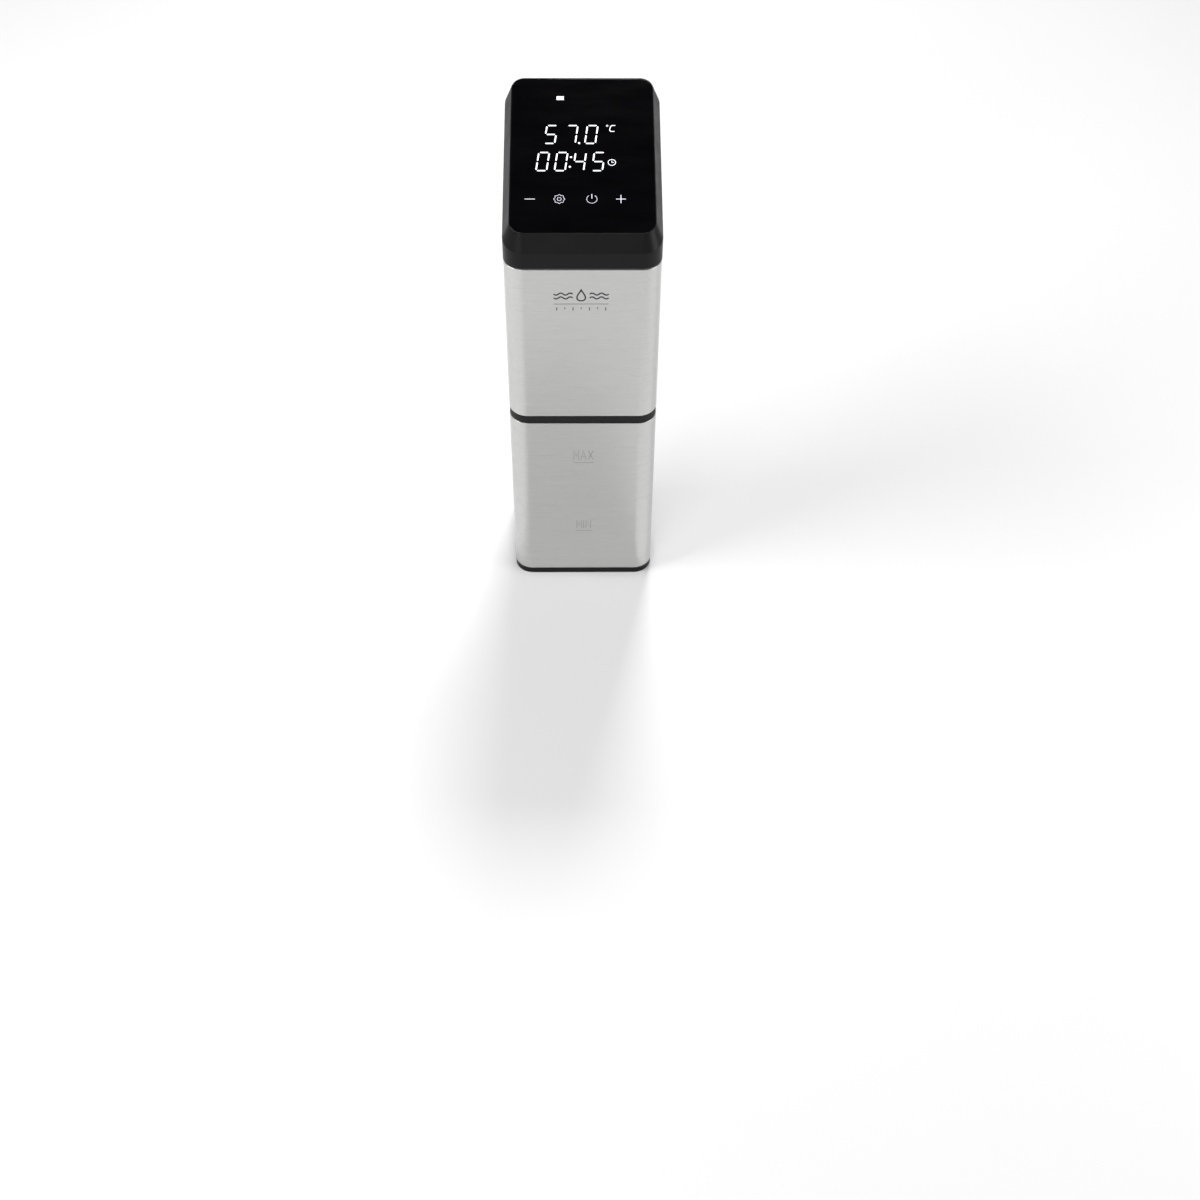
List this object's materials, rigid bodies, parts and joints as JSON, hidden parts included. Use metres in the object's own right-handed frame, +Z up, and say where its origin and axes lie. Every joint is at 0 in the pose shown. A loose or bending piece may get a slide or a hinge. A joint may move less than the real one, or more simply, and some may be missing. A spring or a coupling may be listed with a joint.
{
  "type": "sous vide circulator",
  "caption": "Clamp-on immersion circulator: sloped glass touch panel on a black head, brushed steel body, pull-off skirt over a heater coil and pump, sprung clamp at the back.",
  "frame": {"origin": "centre of the flat base, under the pump shaft", "axes": "+Z up along the pump shaft, -Y towards the front where the panel slopes down, +X to the right of a person who faces the panel"},
  "size_m": [0.1004, 0.1309, 0.3348],
  "materials": {
    "black_plastic": "fine-textured moulded plastic",
    "brushed_steel": "horizontal brushed grain",
    "bright_steel": "smooth turned and ground steel",
    "zinc_steel": "zinc plated sheet",
    "heater_steel": "heat-tinted stainless tube",
    "black_rubber": "satin silicone",
    "grey_silicone": "matte silicone",
    "red_silicone": "matte silicone",
    "inner_plastic": "glass-filled moulded plastic",
    "pale_polymer": "smooth pale polymer",
    "black_glass": "black back-printed glass, polished",
    "laminated_iron": "laminated or sintered iron",
    "copper_wire": "enamelled copper winding",
    "brass": "turned brass",
    "aluminium": "extruded aluminium",
    "circuit_board": "green solder mask",
    "yellow_plastic": "wound tape and moulded box",
    "blue_plastic": "moulded box",
    "green_plastic": "moulded block",
    "grey_ribbon": "flat ribbon cable",
    "dark_screw": "blackened steel",
    "display_light": "white light through the glass",
    "etched_mark": "laser-etched mark"
  },
  "bodies": {
    "bottom_cap": {"bottom_cap": "black_plastic"},
    "skirt": {"skirt": "brushed_steel"},
    "unit": {"seal_ring": "black_rubber", "partition": "inner_plastic", "neck_seal": "grey_silicone", "upper_sleeve": "brushed_steel", "chassis": "inner_plastic", "chassis_screws": "bright_steel", "motor_mount": "zinc_steel", "motor_screws": "bright_steel", "motor_can": "zinc_steel", "motor_end_bell": "inner_plastic", "stator_core": "laminated_iron", "stator_windings": "copper_wire", "lower_bearing": "bright_steel", "upper_bearing": "bright_steel", "shaft_seal": "red_silicone", "shaft_tube": "bright_steel", "lower_bush": "pale_polymer", "pump_cage": "inner_plastic", "heater_coil": "heater_steel", "heater_nuts": "brass", "heater_washers": "red_silicone", "temperature_probe": "bright_steel", "level_electrodes": "bright_steel", "probe_grommets": "red_silicone", "thermal_cutout": "inner_plastic", "power_board": "circuit_board", "transformer": "yellow_plastic", "relay": "blue_plastic", "mains_capacitor": "yellow_plastic", "terminal_block": "green_plastic", "heat_sink": "aluminium", "triac": "inner_plastic", "head_base": "black_plastic", "head_gasket": "grey_silicone", "head_shell": "black_plastic", "head_screws": "dark_screw", "touch_glass": "black_glass", "display_board": "circuit_board", "display_module": "pale_polymer", "touch_pads": "grey_silicone", "buzzer": "inner_plastic", "ribbon_cable": "grey_ribbon", "cord_gland": "black_plastic", "gland_nut": "black_plastic", "clamp_bracket": "black_plastic", "clamp_screws": "bright_steel", "clamp_pin": "bright_steel", "pin_clips": "dark_screw", "clamp_spring": "bright_steel"},
    "pump_rotor": {"impeller": "inner_plastic", "impeller_nut": "bright_steel", "pump_shaft": "bright_steel", "shaft_coupling": "brass", "motor_shaft": "bright_steel", "rotor_magnet": "laminated_iron", "cooling_fan": "inner_plastic"},
    "clamp_lever": {"clamp_lever": "black_plastic", "jaw_pad": "grey_silicone"}
  },
  "joints": [
    {"name": "cap_pull", "type": "slide", "parent": "bottom_cap", "child": "skirt", "axis": [0, 0, 1], "range_m": [0, 0.02]},
    {"name": "skirt_pull", "type": "slide", "parent": "skirt", "child": "unit", "axis": [0, 0, 1], "range_m": [0, 0.15]},
    {"name": "pump_spin", "type": "hinge", "parent": "unit", "child": "pump_rotor", "pos_m": [0, 0, 0.1], "axis": [0, 0, 1], "continuous": true},
    {"name": "clamp_squeeze", "type": "hinge", "parent": "unit", "child": "clamp_lever", "pos_m": [0, 0.06, 0.1775], "axis": [1, 0, 0], "range_deg": [0, 22], "stiffness_Nm_per_rad": 1, "springref_deg": -22.92, "deforming": ["clamp_spring"]}
  ]
}
